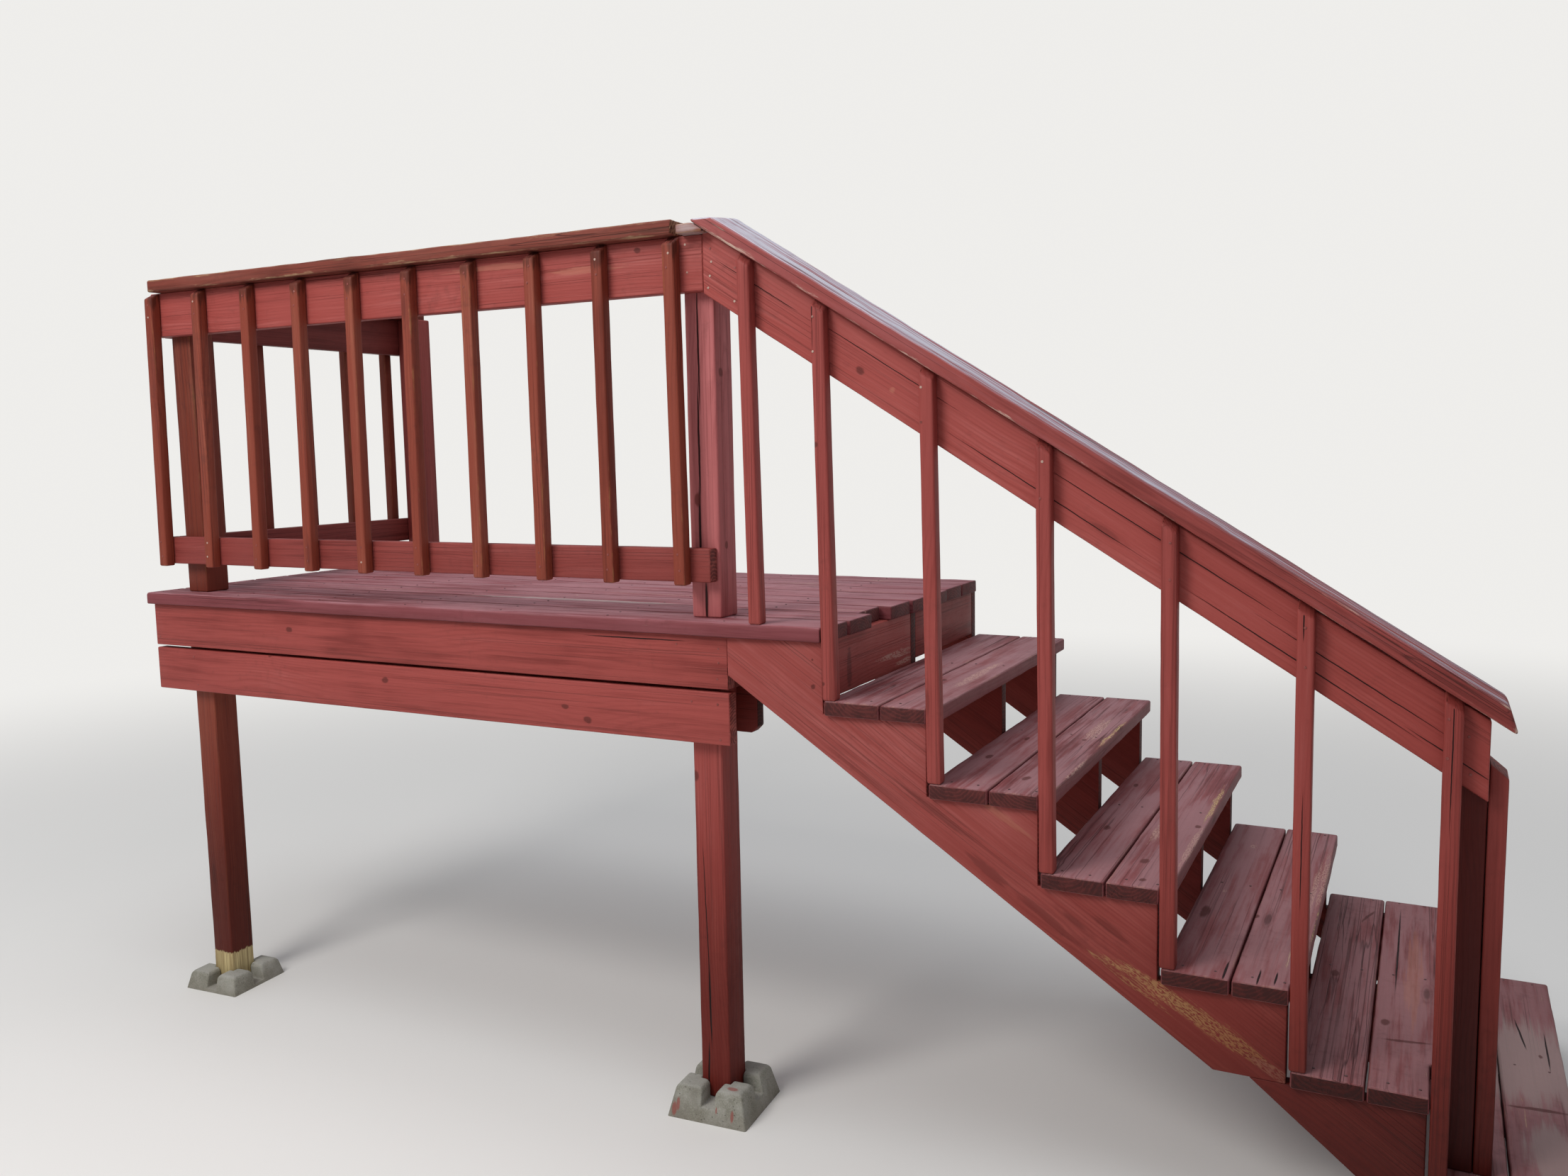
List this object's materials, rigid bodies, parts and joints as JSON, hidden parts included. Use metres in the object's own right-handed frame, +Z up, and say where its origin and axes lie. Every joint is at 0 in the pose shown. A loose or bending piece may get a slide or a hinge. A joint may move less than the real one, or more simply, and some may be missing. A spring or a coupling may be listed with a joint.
{
  "type": "wooden deck stairs",
  "caption": "Raised timber landing against a wall with a straight open-riser flight, sawtooth stringers and baluster railings on two concrete pier blocks.",
  "frame": {"origin": "in the ledger's rear face, which is bolted to the wall, half-way between the left rim and the top riser", "axes": "+X along the wall and down the flight, +Y into the wall, +Z up"},
  "size_m": [4.187, 1.2563, 2.542],
  "materials": {
    "painted_timber": "satin paint",
    "shaded_timber": "satin paint",
    "worn_boards": "worn paint",
    "worn_cap": "worn paint",
    "concrete": "rough"
  },
  "bodies": {
    "root": {"rim_front": "painted_timber", "rim_left": "painted_timber", "beam_front": "painted_timber", "ground_post_left": "painted_timber", "ground_post_right": "painted_timber", "stringer_outer": "painted_timber", "stringer_outer_foot": "painted_timber", "corner_post": "painted_timber", "left_post": "painted_timber", "wall_post": "painted_timber", "newel_side_post": "painted_timber", "landing_top_rail": "painted_timber", "landing_bottom_rail": "painted_timber", "landing_balusters": "painted_timber", "side_top_rail": "painted_timber", "side_bottom_rail": "painted_timber", "side_balusters": "painted_timber", "flight_rail": "painted_timber", "flight_balusters": "painted_timber", "ledger": "shaded_timber", "joists": "shaded_timber", "head_joist": "shaded_timber", "head_riser_front": "shaded_timber", "head_riser_rear": "shaded_timber", "beam_rear": "shaded_timber", "stringer_middle": "shaded_timber", "stringer_wall": "shaded_timber", "newel_post": "shaded_timber", "deck_boards": "worn_boards", "tread_1": "worn_boards", "tread_2": "worn_boards", "tread_3": "worn_boards", "tread_4": "worn_boards", "tread_5": "worn_boards", "tread_6": "worn_boards", "landing_cap": "worn_cap", "cap_filler": "worn_cap", "side_cap": "worn_cap", "flight_cap": "worn_cap", "pier_block_left": "concrete", "pier_block_right": "concrete"}
  },
  "joints": []
}
